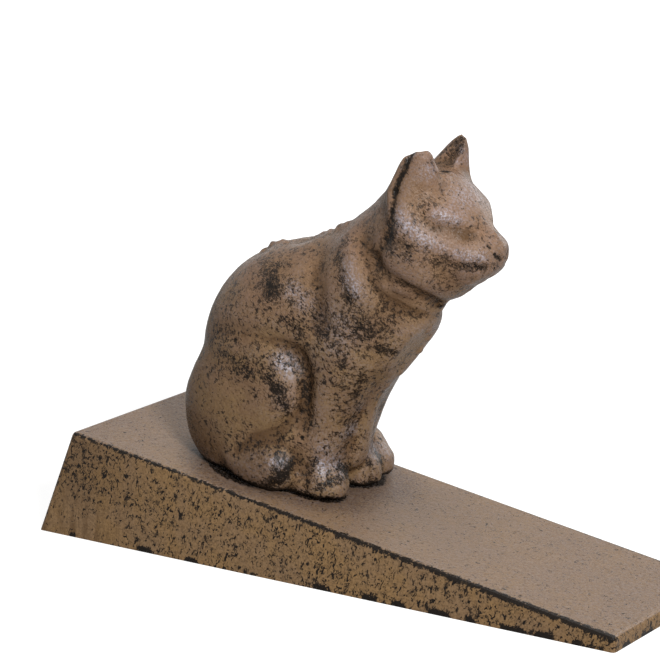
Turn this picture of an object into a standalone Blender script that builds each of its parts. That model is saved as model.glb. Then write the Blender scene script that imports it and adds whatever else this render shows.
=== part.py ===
"""Cast iron doorstop: a wedge shaped ramp with a sitting cat screwed to it.

The frame has its origin on the floor under the middle of the ramp. +X points to the thin end, which goes
under the door, and +Z points up. The cat sits on the slope near the thick end and faces the thin end.
"""

import itertools
import math

import bmesh
import bpy
import numpy as np
from mathutils import Matrix, Vector

MM = 0.001

# Ramp
RAMP_LENGTH = 150 * MM
RAMP_WIDTH = 45 * MM
RAMP_HEIGHT = 25 * MM
BACK_LEAN = 10.2 * MM
TOE_HEIGHT = 3.4 * MM
RAMP_EDGE = 0.8 * MM
RAMP_WALL = 4 * MM
HOLLOW_TO_TOE = 34 * MM
HOLLOW_CORNER = 2.5 * MM
RIB_THICKNESS = 3 * MM
RIB_DEPTH = 3 * MM
BOSS_DIAMETER = 15 * MM
BOSS_DEPTH = 4 * MM

# Cat
CAT_HEIGHT = 83.5 * MM
CAT_SETBACK = 42 * MM
SCREW_HOLE_DEPTH = 11 * MM
PEG_DIAMETER = 5 * MM
PEG_LENGTH = 3 * MM
PEG_AHEAD = 12 * MM
SKIN_VOXEL = 0.6
SKIN_TRIANGLES = 11000

# Screw and washers
SCREW_DIAMETER = 5 * MM
SCREW_LENGTH = 20 * MM
SCREW_CHAMFER = 0.6 * MM
HEAD_DIAMETER = 9.5 * MM
HEAD_HEIGHT = 3.7 * MM
HEAD_ROUNDING = 2.2 * MM
HEAD_ARC_STEPS = 4
CROSS_WIDTH = 1.2 * MM
CROSS_SPAN = 5.2 * MM
CROSS_DEPTH = 2.0 * MM
SCREW_PLAY = 0.6 * MM
WASHER_BORE = SCREW_DIAMETER + SCREW_PLAY
PLAIN_WASHER_DIAMETER = 11 * MM
PLAIN_WASHER_THICKNESS = 1.0 * MM
SPRING_WASHER_DIAMETER = 9.2 * MM
SPRING_WASHER_THICKNESS = 1.3 * MM
WASHER_SPLIT = 1.2 * MM
WASHER_SPLIT_SLANT = math.radians(25)

# Touching faces are this far apart, and a hole with air round its pin has it on every side
GAP = 0.3 * MM
OVERCUT = 5 * MM
ROUND_STEPS = 40
MACHINED_EDGE = math.radians(35)
CAST_EDGE = math.radians(50)

RAMP_PAINT = (0.27, 0.2, 0.125)
CAT_PAINT = (0.24, 0.165, 0.1)
STEEL = (0.42, 0.4, 0.37)

SLOPE = math.atan2(RAMP_HEIGHT - TOE_HEIGHT, RAMP_LENGTH - BACK_LEAN)
BACK_X = -RAMP_LENGTH / 2
TOE_X = RAMP_LENGTH / 2
TOP_BACK_X = BACK_X + BACK_LEAN
SEAT_X = TOP_BACK_X + CAT_SETBACK * math.cos(SLOPE)
SEAT_Z = RAMP_HEIGHT - CAT_SETBACK * math.sin(SLOPE)
# The seat frame lies on the slope under the cat, with its X down the slope and its Z square to it
SEAT = Matrix.Translation((SEAT_X, 0, SEAT_Z)) @ Matrix.Rotation(SLOPE, 4, "Y")
PEG_PLACE = Matrix.Translation((PEG_AHEAD, 0, 0))


def ball(centre, radii, nod=0.0, pair=False):
    """An egg shaped form, nodded forward by an angle in degrees."""
    return {"kind": "ball", "centre": centre, "radii": radii, "nod": math.radians(nod), "pair": pair}


def limb(*stations, pair=False):
    """A tapered round form through stations of x, y, z and radius."""
    return {"kind": "limb", "stations": np.array(stations, float), "pair": pair}


def hull(corners, rounding, pair=False):
    """The shape stretched over some corners, thickened and rounded all over by a radius."""
    return {"kind": "hull", "corners": np.array(corners, float), "rounding": rounding, "pair": pair}


def flat(point, tip):
    """A flat dressed on the forms before it. It faces forward, tipped down by an angle in degrees."""
    facing = np.array([math.cos(math.radians(tip)), 0, -math.sin(math.radians(tip))])
    return {"kind": "flat", "point": np.array(point, float), "facing": facing, "pair": False}


# How points are moved onto the cat's surface, in drawn millimetres
SETTLE_ROUNDS = 4
FEELER = 0.02
LONGEST_STRIDE = 1.5
FLATTEST_SLOPE = 0.25
FLAT_ENOUGH = 0.000001
FLAT_EDGE = 0.8

# The cat's forms, in millimetres for a cat of this height, in the seat frame. Y is to the cat's left.
# A form of a pair is given on the left and mirrored to the right.
DRAWN_HEIGHT = 83.5

# Each mass blends its own forms over the first length, and joins the masses before it over the second
MASSES = (
    ("trunk", 6.0, 0.0, (
        ball((-5, 0, 14), (16.2, 14.5, 17.0)),
        ball((-3.8, 0, 28.5), (17.6, 15.8, 17.4)),
        ball((0.0, 0, 37.0), (16.2, 14.6, 15.6), nod=-30),
        ball((8.6, 0, 42.6), (13.8, 12.8, 12.8), nod=-30),
        ball((21.4, 0, 43.0), (13.2, 11.4, 13.2), nod=-25),
        limb((15, 0, 49, 11.2), (25, 0, 61.4, 10.1)),
        flat((31.3, 0, 39), 29.5),
    )),
    ("forelegs", 5.0, 4.0, (
        ball((17, 7.2, 46), (8.5, 5.6, 13.0), nod=30, pair=True),
        limb((20.4, 6.6, 34, 5.6), (15.7, 6.2, 21, 4.8), (13.2, 6.1, 8, 4.4), pair=True),
        limb((15.0, 7.6, 36, 5.8), (12.8, 7.2, 20, 4.8), (11.8, 7.0, 8, 4.4), pair=True),
        limb((23.6, 0, 31.5, 3.4), (18.8, 0, 22, 3.3), (18.8, 0, 9, 3.2)),
        ball((12.5, 0, 16), (5.5, 6.0, 18.0), nod=12),
    )),
    ("haunches", 5.0, 2.4, (
        ball((-4.5, 8.4, 13.5), (16.6, 8.4, 17.4), pair=True),
        ball((4.4, 10.4, 23.5), (8.0, 5.4, 8.8), pair=True),
    )),
    ("shins", 2.0, 2.0, (
        ball((8.6, 10.8, 10), (3.6, 3.2, 7.5), pair=True),
    )),
    ("hind_feet", 2.0, 1.6, (
        ball((3.2, 13.6, 5.2), (9.2, 4.2, 6.6), nod=6, pair=True),
    )),
    ("fore_paws", 2.0, 1.6, (
        ball((14.2, 6.6, 2.6), (7.9, 6.2, 6.2), pair=True),
        ball((7.0, 4.6, 0.5), (4.0, 4.0, 4.0), pair=True),
        ball((7.2, 10.2, -0.5), (3.8, 3.4, 3.0), pair=True),
    )),
    ("tail", 3.0, 2.5, (
        limb(
            (-19, 4, 5, 5.0), (-13.5, 11.5, 4.4, 4.8), (-4, 15.6, 4, 4.6), (6, 16.0, 4.4, 4.7),
            (12, 15.4, 4.8, 5.0), (16.6, 14.5, 2.6, 4.0),
        ),
    )),
    ("head", 3.5, 2.6, (
        ball((30.4, 0, 66.3), (11.8, 12.0, 11.4)),
        ball((30.4, 6.4, 59.6), (9.0, 7.8, 9.0), nod=24, pair=True),
        ball((35.8, 0, 55.0), (13.0, 7.2, 5.1), nod=-42),
        ball((39.8, 0, 62.2), (7.6, 7.6, 5.2), nod=5),
        ball((41.6, 3.0, 61.6), (5.0, 4.0, 3.6), pair=True),
        ball((36.2, 0, 68.1), (5.0, 8.5, 3.6), nod=40),
        limb((39.4, 0, 66.8, 3.4), (45.6, 0, 63.9, 2.7)),
    )),
    ("ears", 1.0, 2.0, (
        hull(
            (
                (28.9, -9.1, 82.0), (27.7, -9.9, 80.8), (30.8, -8.0, 81.8), (32.0, -6.0, 79.0),
                (31.6, -4.6, 75.0), (33.4, -8.0, 70.0), (28.8, -12.8, 66.0), (25.8, -11.0, 73.0),
                (22.8, -4.6, 72.0),
            ),
            1.3,
        ),
        hull(
            (
                (29.4, 8.4, 83.0), (27.6, 9.4, 81.4), (30.9, 7.9, 81.6), (31.0, 4.4, 75.0),
                (33.0, 8.4, 70.0), (28.8, 12.8, 66.0), (25.6, 11.0, 73.0), (22.8, 4.0, 72.0),
            ),
            1.1,
        ),
    )),
)

# Lines worked into the surface: a width, a depth (raised if negative), and the points on the left side
STROKES = (
    ("jaw", 1.4, 1.0, (
        (24, 11.7, 58.2), (27, 12.8, 57), (31, 13, 55.8), (35, 10.6, 53.2), (37, 5, 50.4), (37.5, 0, 49.4),
    )),
    ("behind_cheek", 1.6, 0.7, ((28.2, 13.6, 68.0), (27.0, 13.3, 63.6), (25.4, 12.5, 58.9))),
    ("ear_rim", 1.1, 0.9, (
        (28.3, 9.8, 82.5), (28.0, 11.1, 78.5), (27.3, 12.0, 76.0), (27.5, 12.9, 72.0), (28.2, 13.6, 68.0),
    )),
    ("shoulder", 3.0, 1.3, ((5, 8, 58), (9, 11, 54), (12, 12.5, 47), (14, 13, 40))),
    ("shoulder_ridge", 3.2, -0.9, (
        (14.4, 10.0, 60), (18.9, 12.4, 55.6), (21.5, 12.8, 52.4), (23.4, 12.6, 49),
    )),
    ("thigh", 2.0, 0.9, (
        (-14, 15, 31), (-6.6, 16.4, 33), (-1, 16.2, 34), (5.3, 14, 33.8), (9.2, 12.6, 32), (11.4, 11.8, 27),
        (12.2, 11.6, 19),
    )),
    ("foot_top", 1.6, 0.8, (
        (9.9, 13.9, 17), (8.4, 14.3, 14.5), (5.8, 15.4, 12.4), (2.4, 16.8, 10), (-1, 17.2, 6.5),
    )),
    ("knee_front", 2.8, 0.6, ((8.5, 13, 31), (11.6, 11.8, 27), (12.5, 11.5, 22), (12.3, 11.6, 17))),
    ("between_forelegs", 1.5, 0.7, (
        (22.2, 4.0, 30), (20.8, 4.0, 26), (20.2, 3.8, 22), (19.6, 3.8, 16.5), (19.6, 3.6, 12),
    )),
    ("between_paws", 1.2, 1.4, ((22.6, 0, 9), (22.4, 0, 2))),
    ("outer_toe", 1.0, 0.8, ((14.6, 12, 7), (15.4, 12.2, 1))),
    ("middle_toe", 0.9, 0.6, ((19.0, 9.4, 7), (19.8, 9.6, 1))),
    ("inner_toe", 0.9, 0.6, ((20.6, 5.0, 7), (21.4, 5.0, 1))),
    ("brow", 1.8, -0.5, ((35.6, 9.4, 71.0), (38.2, 8.2, 71.0), (40.2, 6.4, 70.1), (41.4, 4.9, 69.0))),
    ("cheek_ridge", 2.2, -0.45, (
        (31.0, 13.0, 68.3), (33.9, 12.2, 66.4), (37.4, 9.6, 64.5), (40.9, 7.5, 63.7), (44.8, 5.8, 64.3),
    )),
    ("upper_lid", 1.3, 0.45, (
        (36.2, 10.3, 67.9), (38.1, 9.2, 68.9), (40.0, 7.4, 68.6), (41.6, 5.4, 67.5), (42.8, 4.2, 66.8),
    )),
    ("lower_lid", 1.2, 0.25, ((37.4, 9.3, 66.2), (39.6, 7.6, 64.9), (41.5, 6.2, 65.0), (42.9, 4.4, 66.2))),
    ("mouth", 0.9, 0.5, ((42.4, 8.1, 61.6), (44.8, 7.2, 61.7), (47.1, 4.8, 61.2))),
    ("nostril", 0.7, 0.6, ((48.1, 2.0, 63.4), (48.5, 1.4, 63.0))),
)


def mirrored(points):
    return np.abs(points) * (0, 1, 0) + points * (1, 0, 1)


def turn_about_y(angle):
    return np.array(Matrix.Rotation(angle, 3, "Y"))


def ball_distance(points, form):
    local = (points - form["centre"]) @ turn_about_y(form["nod"])
    radii = np.array(form["radii"])
    reach = np.linalg.norm(local / radii, axis=1)
    return reach * (reach - 1) / np.maximum(np.linalg.norm(local / radii**2, axis=1), 1e-9)


def segment_distance(points, start, end):
    """How far points lie from a straight line, and how far along it the nearest place is, from 0 to 1."""
    run = end - start
    along = np.clip((points - start) @ run / (run @ run), 0, 1)
    return np.linalg.norm(points - start - along[:, None] * run, axis=1), along


def line_distance(points, line):
    """How far points, or their mirror images, lie from a line through points on the left."""
    line = np.array(line, float)
    runs = [segment_distance(mirrored(points), start, end)[0] for start, end in zip(line, line[1:])]
    return np.min(runs, axis=0)


def limb_distance(points, form):
    stations = form["stations"]
    found = []
    for start, end in zip(stations, stations[1:]):
        off, along = segment_distance(points, start[:3], end[:3])
        found.append(off - (start[3] + along * (end[3] - start[3])))
    return np.min(found, axis=0)


def triangle_distance(points, a, b, c, normal):
    """How far points lie from a flat triangle, given the unit normal that its corners turn about."""
    over = np.ones(len(points), bool)
    to_edges = []
    for start, end in ((a, b), (b, c), (c, a)):
        over &= (points - start) @ np.cross(normal, end - start) >= 0
        to_edges.append(segment_distance(points, start, end)[0])
    return np.where(over, np.abs((points - a) @ normal), np.min(to_edges, axis=0))


def hull_distance(points, form):
    """The distance from the shape stretched over some corners, thickened all over by its rounding."""
    corners = form["corners"]
    to_faces = []
    inside = np.ones(len(points), bool)
    for a, b, c in itertools.combinations(corners, 3):
        normal = np.cross(b - a, c - a)
        normal /= np.linalg.norm(normal)
        heights = (corners - a) @ normal
        if heights.min() < -FLAT_ENOUGH:
            if heights.max() > FLAT_ENOUGH:
                continue
        else:
            b, c, normal = c, b, -normal
        to_faces.append(triangle_distance(points, a, b, c, normal))
        inside &= (points - a) @ normal < 0
    off = np.min(to_faces, axis=0)
    return np.where(inside, -off, off) - form["rounding"]


def flat_distance(points, form):
    return (points - form["point"]) @ form["facing"]


DISTANCES = {"ball": ball_distance, "limb": limb_distance, "hull": hull_distance, "flat": flat_distance}


def blend(first, second, reach):
    """The smaller of two distances, rounded off where they come within reach of each other."""
    near = np.maximum(reach - np.abs(first - second), 0) / reach
    return np.minimum(first, second) - near * near * reach / 4


def form_distance(points, form):
    return DISTANCES[form["kind"]](mirrored(points) if form["pair"] else points, form)


def cat_distance(points):
    """How far points lie outside the cat's surface, in drawn millimetres. It is negative inside."""
    whole = None
    for _, inner_reach, outer_reach, forms in MASSES:
        mass = None
        for form in forms:
            off = form_distance(points, form)
            if form["kind"] == "flat":
                mass = -blend(-mass, -off, FLAT_EDGE)
            else:
                mass = off if mass is None else blend(mass, off, inner_reach)
        whole = mass if whole is None else blend(whole, mass, outer_reach)
    for _, width, depth, line in STROKES:
        whole = whole + depth * np.exp(-((line_distance(points, line) / width) ** 2))
    return whole


def settle(points):
    """Moves points along the slope of the distance until they lie on the cat's surface."""
    for _ in range(SETTLE_ROUNDS):
        off = cat_distance(points)
        rises = [cat_distance(points + FEELER * axis) - off for axis in np.eye(3)]
        slope = np.stack(rises, axis=1) / FEELER
        steep = np.maximum((slope**2).sum(axis=1), FLATTEST_SLOPE)
        stride = np.clip(off, -LONGEST_STRIDE, LONGEST_STRIDE)
        points = points - stride[:, None] * slope / steep[:, None]
    return points


def add_form(bm, form):
    """Adds a form's plain shape to a bmesh, in drawn millimetres."""
    made = []
    if form["kind"] == "flat":
        return
    if form["kind"] == "ball":
        place = Matrix.Translation(form["centre"]) @ Matrix.Rotation(form["nod"], 4, "Y")
        place = place @ Matrix.Diagonal((*form["radii"], 1))
        made += bmesh.ops.create_uvsphere(bm, u_segments=32, v_segments=20, radius=1, matrix=place)["verts"]
    elif form["kind"] == "limb":
        stations = [(Vector(station[:3]), station[3]) for station in form["stations"]]
        for place, radius in stations:
            made += bmesh.ops.create_uvsphere(
                bm, u_segments=24, v_segments=16, radius=radius, matrix=Matrix.Translation(place)
            )["verts"]
        for (start, start_radius), (end, end_radius) in zip(stations, stations[1:]):
            run = end - start
            place = Matrix.Translation((start + end) / 2) @ run.to_track_quat("Z", "Y").to_matrix().to_4x4()
            made += bmesh.ops.create_cone(
                bm,
                cap_ends=True,
                segments=24,
                radius1=start_radius,
                radius2=end_radius,
                depth=run.length,
                matrix=place,
            )["verts"]
    else:
        rounding = bmesh.new()
        bmesh.ops.create_icosphere(rounding, subdivisions=2, radius=form["rounding"])
        spots = [vert.co.copy() for vert in rounding.verts]
        rounding.free()
        made += [bm.verts.new(Vector(corner) + spot) for corner in form["corners"] for spot in spots]
        bmesh.ops.convex_hull(bm, input=made)
    if form["pair"]:
        geometry = made + list({face for vert in made for face in vert.link_faces})
        copied = bmesh.ops.duplicate(bm, geom=geometry)["geom"]
        verts = [item for item in copied if isinstance(item, bmesh.types.BMVert)]
        bmesh.ops.scale(bm, vec=(1, -1, 1), verts=verts)
        bmesh.ops.reverse_faces(bm, faces=[item for item in copied if isinstance(item, bmesh.types.BMFace)])


def applied(obj):
    """Gives an object the mesh that its modifiers make."""
    graph = bpy.context.evaluated_depsgraph_get()
    mesh = bpy.data.meshes.new_from_object(obj.evaluated_get(graph))
    obj.modifiers.clear()
    obj.data = mesh
    return obj


def positions(mesh):
    flat = np.empty(len(mesh.vertices) * 3)
    mesh.vertices.foreach_get("co", flat)
    return flat.reshape(-1, 3)


def sculpt_cat(collection):
    """The cat's skin: its plain forms joined, then settled onto the blended surface and thinned."""
    bm = bmesh.new()
    for _, _, _, forms in MASSES:
        for form in forms:
            add_form(bm, form)
    mesh = bpy.data.meshes.new("cat")
    bm.to_mesh(mesh)
    bm.free()
    cat = bpy.data.objects.new("cat", mesh)
    collection.objects.link(cat)
    joined = cat.modifiers.new("joined", "REMESH")
    joined.mode = "VOXEL"
    joined.voxel_size = SKIN_VOXEL
    applied(cat)
    points = settle(positions(cat.data))
    cat.data.vertices.foreach_set("co", points.reshape(-1))
    cat.data.update()
    thinned = cat.modifiers.new("thinned", "DECIMATE")
    thinned.ratio = SKIN_TRIANGLES / (2 * len(cat.data.polygons))
    thinned.use_collapse_triangulate = True
    applied(cat)
    return cat


def seat_cat(bm, scale):
    """Cuts the skin flat where it stands on the ramp, and brings it to its real size."""
    cut = bmesh.ops.bisect_plane(
        bm,
        geom=bm.verts[:] + bm.edges[:] + bm.faces[:],
        plane_co=(0, 0, GAP / scale),
        plane_no=(0, 0, -1),
        clear_outer=True,
    )["geom_cut"]
    bmesh.ops.holes_fill(bm, edges=[item for item in cut if isinstance(item, bmesh.types.BMEdge)])
    bmesh.ops.scale(bm, vec=(scale, scale, scale), verts=bm.verts)


def painted(obj, colour, roughness, metallic):
    material = bpy.data.materials.new(obj.name)
    material.use_nodes = True
    shader = material.node_tree.nodes["Principled BSDF"]
    shader.inputs["Base Color"].default_value = (*colour, 1)
    shader.inputs["Roughness"].default_value = roughness
    shader.inputs["Metallic"].default_value = metallic
    material.diffuse_color = (*colour, 1)
    obj.data.materials.clear()
    obj.data.materials.append(material)


def add_object(collection, name, bm, place=Matrix()):
    mesh = bpy.data.meshes.new(name)
    bm.to_mesh(mesh)
    bm.free()
    obj = bpy.data.objects.new(name, mesh)
    obj.matrix_world = place
    collection.objects.link(obj)
    return obj


def add_cutter(name, bm, place=Matrix()):
    cutter = add_object(cutters, name, bm, place)
    cutter.hide_render = True
    cutter.display_type = "WIRE"
    return cutter


def combine(obj, other, operation):
    boolean = obj.modifiers.new(other.name, "BOOLEAN")
    boolean.operation = operation
    boolean.object = other
    return boolean


def prism(outline, width):
    """A flat outline of X and Z points, thickened evenly to both sides of Y = 0."""
    bm = bmesh.new()
    side = bm.faces.new([bm.verts.new((x, -width / 2, z)) for x, z in outline])
    grown = bmesh.ops.extrude_face_region(bm, geom=[side])["geom"]
    moved = [item for item in grown if isinstance(item, bmesh.types.BMVert)]
    bmesh.ops.translate(bm, vec=(0, width, 0), verts=moved)
    bmesh.ops.recalc_face_normals(bm, faces=bm.faces)
    return bm


def cylinder(diameter, top, bottom):
    bm = bmesh.new()
    bmesh.ops.create_cone(
        bm,
        cap_ends=True,
        segments=ROUND_STEPS,
        radius1=diameter / 2,
        radius2=diameter / 2,
        depth=top - bottom,
        matrix=Matrix.Translation((0, 0, (top + bottom) / 2)),
    )
    return bm


def block(length, width, height, place=Matrix()):
    bm = bmesh.new()
    bmesh.ops.create_cube(bm, size=1, matrix=place @ Matrix.Diagonal((length, width, height, 1)))
    return bm


def turned(collection, name, profile, place, closed=False):
    """A turned piece from a profile of radius and height, running from the top down its outer side."""
    bm = bmesh.new()
    verts = [bm.verts.new((radius, 0, height)) for radius, height in profile]
    for start, end in zip(verts, verts[1:] + verts[:1] if closed else verts[1:]):
        bm.edges.new((start, end))
    obj = add_object(collection, name, bm, place)
    lathe = obj.modifiers.new("lathe", "SCREW")
    lathe.steps = lathe.render_steps = ROUND_STEPS
    lathe.use_merge_vertices = True
    lathe.merge_threshold = 0.00001
    return obj


def roof_height(x, below):
    """The height of a line parallel to the slope, at x, this far below the ramp's top surface."""
    return RAMP_HEIGHT - (x - TOP_BACK_X) * math.tan(SLOPE) - below / math.cos(SLOPE)


def make_ramp():
    """A cast wedge, open underneath, with a boss and a rib under the cat."""
    outline = ((BACK_X, 0), (TOE_X, 0), (TOE_X, TOE_HEIGHT), (TOP_BACK_X, RAMP_HEIGHT))
    wedge = prism(outline, RAMP_WIDTH)
    above_floor = [edge for edge in wedge.edges if max(vert.co.z for vert in edge.verts) > 0]
    bmesh.ops.bevel(
        wedge, geom=above_floor, offset=RAMP_EDGE, segments=2, profile=0.5, affect="EDGES", material=-1
    )
    ramp = add_object(doorstop, "ramp", wedge)

    # The hollow keeps an even wall behind the leaning back, under the slope and at the sides
    lean = math.atan2(BACK_LEAN, RAMP_HEIGHT)
    back_foot = BACK_X + RAMP_WALL / math.cos(lean)
    hollow_front = TOE_X - HOLLOW_TO_TOE
    steep = math.tan(lean)
    flat = math.tan(SLOPE)
    roof_at_foot = roof_height(back_foot, RAMP_WALL)
    roof_back_z = roof_at_foot / (1 + flat * steep)
    hollow = prism(
        (
            (back_foot - OVERCUT * steep, -OVERCUT),
            (hollow_front, -OVERCUT),
            (hollow_front, roof_height(hollow_front, RAMP_WALL)),
            (back_foot + roof_back_z * steep, roof_back_z),
        ),
        RAMP_WIDTH - 2 * RAMP_WALL,
    )
    hollow = add_cutter("hollow", hollow)
    corners = hollow.modifiers.new("cast corners", "BEVEL")
    corners.width = HOLLOW_CORNER
    corners.segments = 3
    combine(ramp, hollow, "DIFFERENCE")

    # Both grow out of the roof of the hollow, so they start a little way up inside it
    rooted = RAMP_WALL / 2
    boss = add_cutter("boss", cylinder(BOSS_DIAMETER, -rooted, -RAMP_WALL - BOSS_DEPTH), SEAT)
    combine(ramp, boss, "UNION")
    rib_middle = Matrix.Translation((0, 0, -(rooted + RAMP_WALL + RIB_DEPTH) / 2))
    rib_height = RAMP_WALL + RIB_DEPTH - rooted
    rib = add_cutter("rib", block(RIB_THICKNESS, RAMP_WIDTH - RAMP_WALL, rib_height, rib_middle), SEAT)
    combine(ramp, rib, "UNION")

    through = -RAMP_WALL - BOSS_DEPTH - OVERCUT
    screw_way = add_cutter("screw_way", cylinder(WASHER_BORE, OVERCUT, through), SEAT)
    combine(ramp, screw_way, "DIFFERENCE")
    peg_way = add_cutter("peg_way", cylinder(PEG_DIAMETER + 2 * GAP, OVERCUT, through), SEAT @ PEG_PLACE)
    combine(ramp, peg_way, "DIFFERENCE")
    applied(ramp)
    ramp.data.set_sharp_from_angle(angle=MACHINED_EDGE)
    painted(ramp, RAMP_PAINT, 0.5, 0.0)
    return ramp


def make_cat():
    """The figure, with a tapped hole and a locating peg on its flat seat."""
    scale = CAT_HEIGHT / DRAWN_HEIGHT
    cat = sculpt_cat(doorstop)
    bm = bmesh.new()
    bm.from_mesh(cat.data)
    seat_cat(bm, scale)
    bm.to_mesh(cat.data)
    bm.free()
    cat.matrix_world = SEAT
    peg = add_cutter("peg", cylinder(PEG_DIAMETER, OVERCUT, GAP - PEG_LENGTH), SEAT @ PEG_PLACE)
    combine(cat, peg, "UNION")
    tapped = add_cutter("tapped_hole", cylinder(SCREW_DIAMETER + 2 * GAP, SCREW_HOLE_DEPTH, -OVERCUT), SEAT)
    combine(cat, tapped, "DIFFERENCE")
    applied(cat)
    cat.data.shade_smooth()
    cat.data.set_sharp_from_angle(angle=CAST_EDGE)
    painted(cat, CAT_PAINT, 0.45, 0.0)
    return cat


def make_fixing():
    """The screw that holds the cat from below, with its washers."""
    plain_top = -RAMP_WALL - BOSS_DEPTH - GAP
    spring_top = plain_top - PLAIN_WASHER_THICKNESS - GAP
    head_top = spring_top - SPRING_WASHER_THICKNESS - GAP

    def washer(name, diameter, thickness, top):
        profile = (
            (WASHER_BORE / 2, top),
            (diameter / 2, top),
            (diameter / 2, top - thickness),
            (WASHER_BORE / 2, top - thickness),
        )
        ring = applied(turned(doorstop, name, profile, SEAT, closed=True))
        painted(ring, STEEL, 0.35, 1.0)
        return ring

    washer("plain_washer", PLAIN_WASHER_DIAMETER, PLAIN_WASHER_THICKNESS, plain_top)
    spring = washer("spring_washer", SPRING_WASHER_DIAMETER, SPRING_WASHER_THICKNESS, spring_top)
    split_centre = (0, SPRING_WASHER_DIAMETER / 2, spring_top - SPRING_WASHER_THICKNESS / 2)
    split_place = Matrix.Translation(split_centre) @ Matrix.Rotation(WASHER_SPLIT_SLANT, 4, "Y")
    split = block(WASHER_SPLIT, SPRING_WASHER_DIAMETER, 4 * SPRING_WASHER_THICKNESS, split_place)
    combine(spring, add_cutter("split", split, SEAT), "DIFFERENCE")
    applied(spring)

    radius, head_radius = SCREW_DIAMETER / 2, HEAD_DIAMETER / 2
    tip = head_top + SCREW_LENGTH
    head_bottom = head_top - HEAD_HEIGHT
    profile = [
        (0, tip),
        (radius - SCREW_CHAMFER, tip),
        (radius, tip - SCREW_CHAMFER),
        (radius, head_top),
        (head_radius, head_top),
    ]
    for step in range(HEAD_ARC_STEPS + 1):
        angle = math.radians(90) * step / HEAD_ARC_STEPS
        profile.append((
            head_radius - HEAD_ROUNDING * (1 - math.cos(angle)),
            head_bottom + HEAD_ROUNDING * (1 - math.sin(angle)),
        ))
    profile.append((0, head_bottom))
    screw = applied(turned(doorstop, "fixing_screw", profile, SEAT))
    for name, turn in (("cross_a", 45), ("cross_b", 135)):
        place = Matrix.Translation((0, 0, head_bottom)) @ Matrix.Rotation(math.radians(turn), 4, "Z")
        arm = add_cutter(name, block(CROSS_SPAN, CROSS_WIDTH, 2 * CROSS_DEPTH, place), SEAT)
        combine(screw, arm, "DIFFERENCE")
    applied(screw)
    screw.data.set_sharp_from_angle(angle=MACHINED_EDGE)
    painted(screw, STEEL, 0.3, 1.0)


for old in list(bpy.data.objects):
    bpy.data.objects.remove(old, do_unlink=True)
doorstop = bpy.data.collections.new("cast_iron_doorstop")
cutters = bpy.data.collections.new("cutters")
cutters.hide_render = True
for group in (doorstop, cutters):
    bpy.context.scene.collection.children.link(group)
make_ramp()
make_cat()
make_fixing()
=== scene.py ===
"""Cast iron doorstop: a painted wedge with a sitting cat screwed to its slope."""

import math

import bmesh
import bpy
import numpy as np
from mathutils import Matrix, Vector, noise


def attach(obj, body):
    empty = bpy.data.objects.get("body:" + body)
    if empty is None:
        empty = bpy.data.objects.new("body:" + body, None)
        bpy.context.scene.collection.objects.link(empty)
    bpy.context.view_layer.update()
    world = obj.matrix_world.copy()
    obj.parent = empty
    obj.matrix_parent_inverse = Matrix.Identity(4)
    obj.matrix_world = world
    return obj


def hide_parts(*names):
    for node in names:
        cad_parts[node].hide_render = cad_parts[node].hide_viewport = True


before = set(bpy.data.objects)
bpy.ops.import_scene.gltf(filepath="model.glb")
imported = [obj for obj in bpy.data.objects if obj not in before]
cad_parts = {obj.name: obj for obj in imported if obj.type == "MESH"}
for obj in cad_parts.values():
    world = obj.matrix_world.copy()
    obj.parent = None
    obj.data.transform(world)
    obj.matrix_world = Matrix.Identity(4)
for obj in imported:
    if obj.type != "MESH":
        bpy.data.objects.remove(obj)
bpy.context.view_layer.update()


# Camera
# It looks from the toe's end of the ramp and a little above, as the photograph does. The angles, the distance
# and the lens were fitted to the ramp's edges there.
MM = 0.001
view_azimuth = math.radians(33.7098)
view_elevation = math.radians(13.9551)
view_distance = 685.1 * MM
view_target = Vector((-9.7, 0, 51.63)) * MM

forward = Vector((
    -math.sin(view_azimuth) * math.cos(view_elevation),
    math.cos(view_azimuth) * math.cos(view_elevation),
    -math.sin(view_elevation),
))
right = Vector((math.cos(view_azimuth), math.sin(view_azimuth), 0))
upward = right.cross(forward)
camera = bpy.data.objects.new("camera", bpy.data.cameras.new("camera"))
bpy.context.scene.collection.objects.link(camera)
camera.matrix_world = Matrix.Translation(view_target - forward * view_distance) @ Matrix(
    (right, upward, -forward)
).transposed().to_4x4()
camera.data.sensor_width = 36
camera.data.lens = 169.573
camera.data.clip_start = 0.01
camera.data.clip_end = 20
bpy.context.scene.camera = camera


# Studio
# A white sweep, a strong soft box beside the camera, a wider one overhead and a weak one on the far side. The
# floor is lifted to white for the camera only, and keeps the shadow under the ramp.
def add_node(tree, kind, inputs=None, **settings):
    """A shader node. An input given as a socket is linked, and any other is set."""
    made = tree.nodes.new(kind)
    for name, value in settings.items():
        setattr(made, name, value)
    for name, value in (inputs or {}).items():
        if isinstance(value, bpy.types.NodeSocket):
            tree.links.new(value, made.inputs[name])
        else:
            made.inputs[name].default_value = value
    return made


def lamp(name, place, size, power, colour):
    """A square soft box that faces the middle of the view."""
    data = bpy.data.lights.new(name, "AREA")
    data.size = size
    data.energy = power
    data.color = colour
    obj = bpy.data.objects.new(name, data)
    bpy.context.scene.collection.objects.link(obj)
    obj.location = place
    obj.rotation_euler = (Vector(place) - view_target).to_track_quat("Z", "Y").to_euler()


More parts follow.
